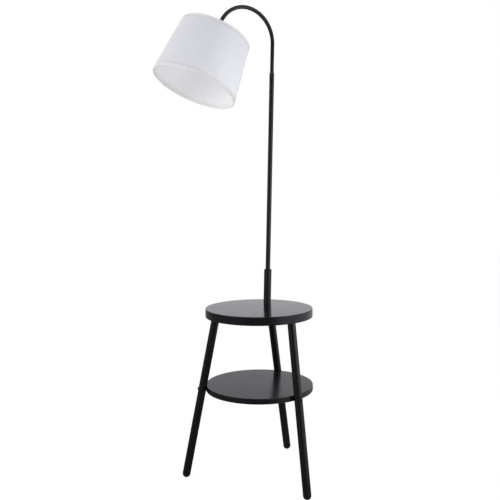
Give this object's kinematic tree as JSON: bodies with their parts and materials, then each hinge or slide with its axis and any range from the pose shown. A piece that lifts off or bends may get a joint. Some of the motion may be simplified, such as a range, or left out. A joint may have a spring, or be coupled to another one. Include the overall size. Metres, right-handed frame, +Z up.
{
  "type": "floor lamp with table",
  "caption": "Floor lamp with a round two-tier table: splayed round legs, a slim pole near the rim, a bent arm that swivels and a tapered drum shade.",
  "frame": {"origin": "on the floor, below the middle of the lamp's overall box at rest; the table's own axis stands 74 mm towards +X and 13 mm towards -Y from it", "axes": "+Z up, -Y towards the picture's camera, +X to the right of the picture"},
  "size_m": [0.5017, 0.4462, 1.5345],
  "materials": {
    "table_lacquer": "gloss",
    "leg_lacquer": "satin",
    "black_metal": "satin",
    "zinc_steel": "satin",
    "brass": "satin",
    "black_plastic": "satin",
    "liner_plastic": "matte",
    "porcelain": "gloss",
    "lead_sheath": "satin",
    "shade_fabric": "matte",
    "white_wire": "satin"
  },
  "bodies": {
    "stand": {"table_top": "table_lacquer", "lower_shelf": "table_lacquer", "leg_left": "leg_lacquer", "leg_right": "leg_lacquer", "leg_back": "leg_lacquer", "leg_hanger_bolts": "zinc_steel", "leg_inserts": "brass", "shelf_bolts": "black_metal", "shelf_sleeve_nuts": "brass", "pole_socket": "black_metal", "socket_collar": "black_metal", "lower_pole": "black_metal", "pole_foot_plug": "zinc_steel", "table_washer": "zinc_steel", "table_nut": "zinc_steel", "cable_outlet_bush": "black_plastic", "swivel_liner": "liner_plastic"},
    "arm": {"bent_arm": "black_metal", "arm_end_plug": "zinc_steel", "inner_lead": "lead_sheath", "holder_cap": "black_plastic", "holder_body": "black_plastic", "holder_core": "porcelain", "terminal_screws": "brass", "screw_shell": "brass", "centre_contact": "brass", "shade_clamp_ring": "black_plastic", "shade_carrier": "white_wire", "shade_bottom_ring": "white_wire", "shade_cover": "shade_fabric"}
  },
  "joints": [
    {"name": "arm_swivel", "type": "hinge", "parent": "stand", "child": "arm", "pos_m": [0.10203, 0.07326, 0.56], "axis": [0.0258, 0.0164, 0.9995], "range_deg": [-170, 170]}
  ]
}
